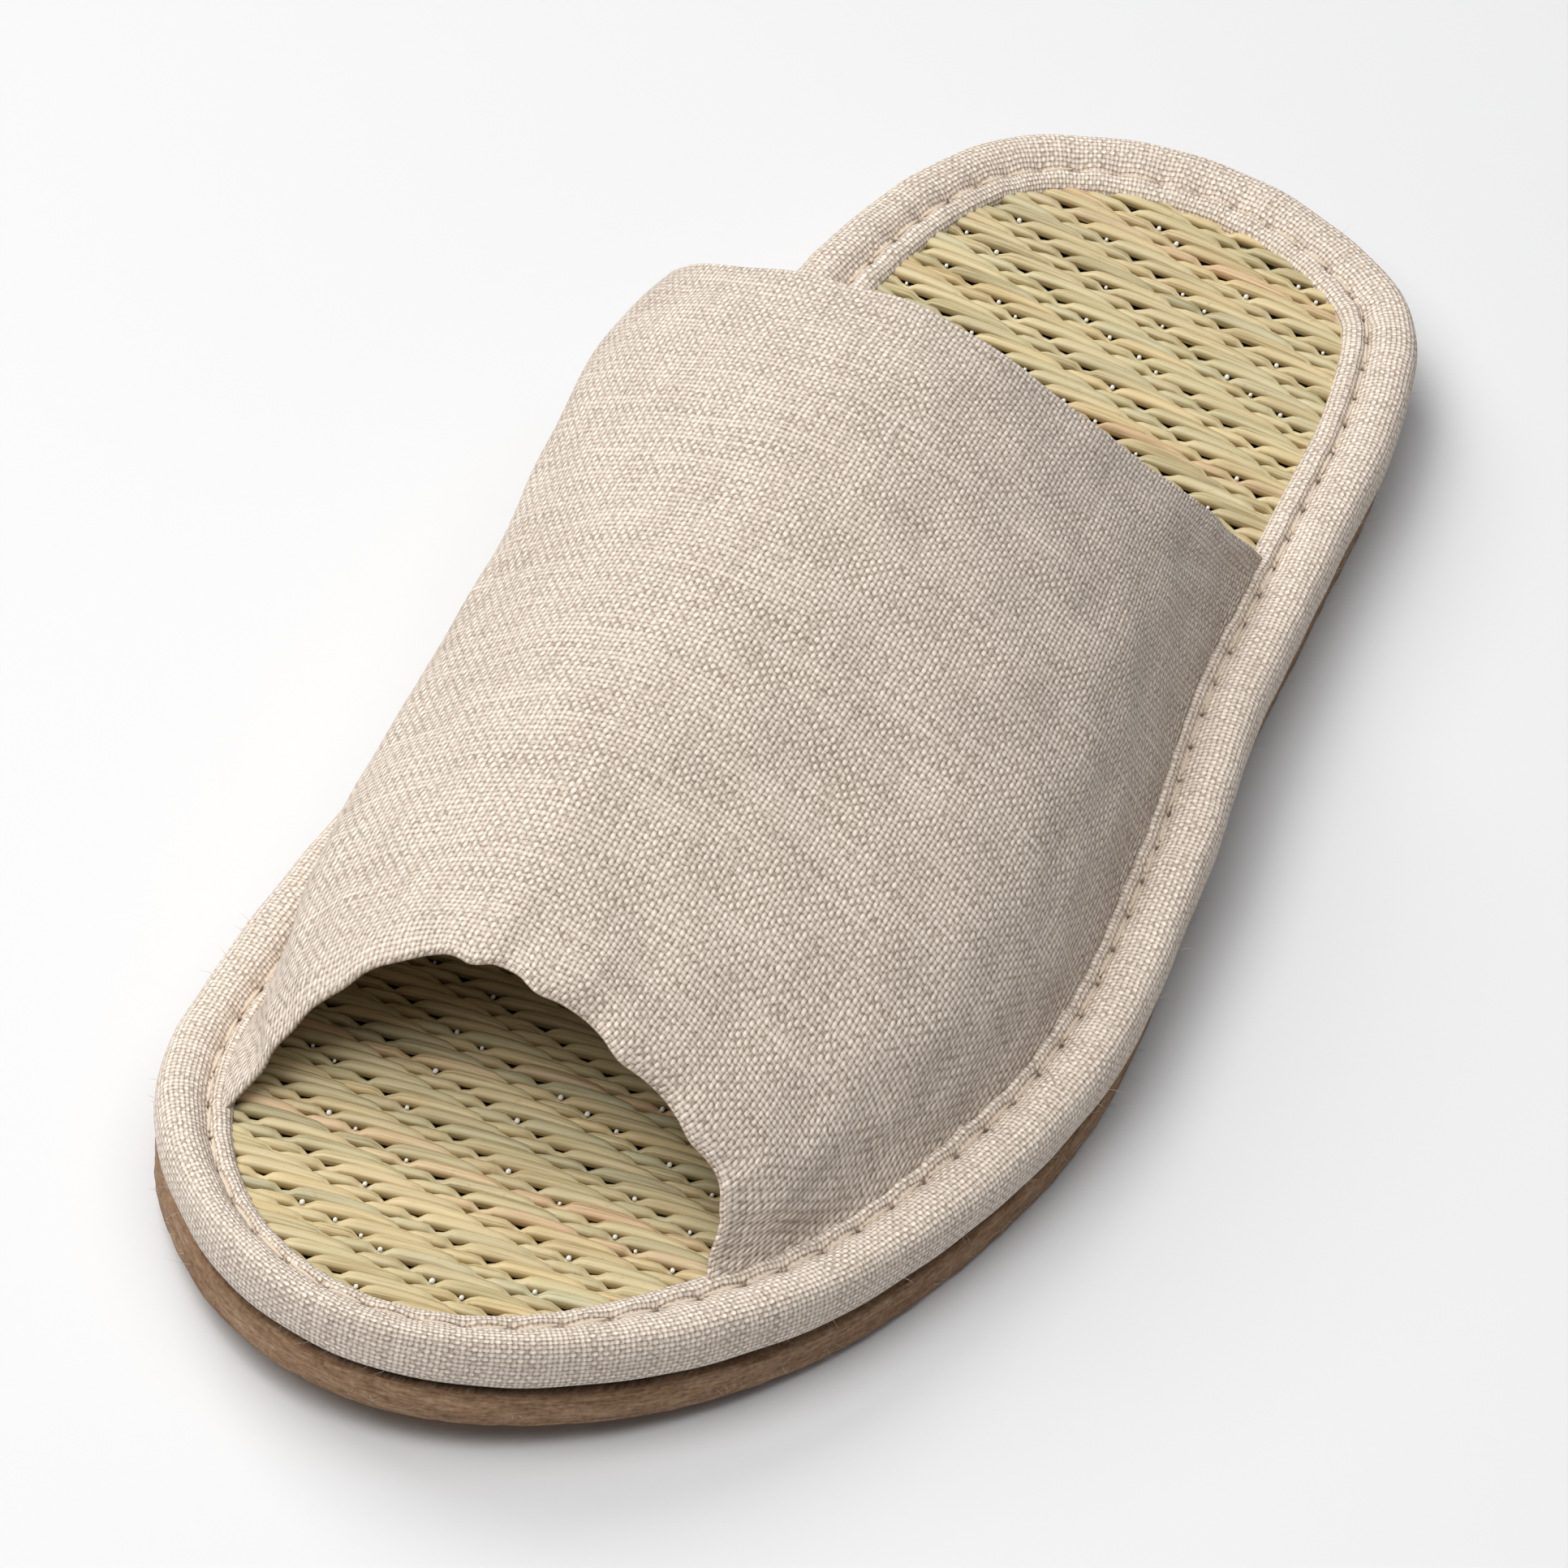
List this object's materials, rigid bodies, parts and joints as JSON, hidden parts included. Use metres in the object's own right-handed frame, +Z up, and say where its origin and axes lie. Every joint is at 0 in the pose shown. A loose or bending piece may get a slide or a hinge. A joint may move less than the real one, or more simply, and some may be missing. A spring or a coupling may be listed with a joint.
{
  "type": "rush grass slipper",
  "caption": "Open-toe indoor slipper for the left foot, with a woven rush insole, a wide linen band upper, a linen edge binding and a flat foam sole.",
  "frame": {"origin": "on the floor, under the middle of the slipper's outline", "axes": "+Z up, +Y towards the heel, -Y towards the toe, +X towards the outer, little toe side of a left foot"},
  "size_m": [0.099, 0.26, 0.0564],
  "materials": {
    "foam": "matt closed-cell foam, brown",
    "board": "dark felt board, matt",
    "rush": "woven dry rush stems with white warp thread, satin",
    "binding_linen": "plain woven natural linen over a soft core, sewn",
    "upper_linen": "plain woven natural linen, matt"
  },
  "bodies": {
    "root": {"outsole": "foam", "bottom_board": "board", "rush_insole": "rush", "binding": "binding_linen", "upper": "upper_linen"}
  },
  "joints": []
}
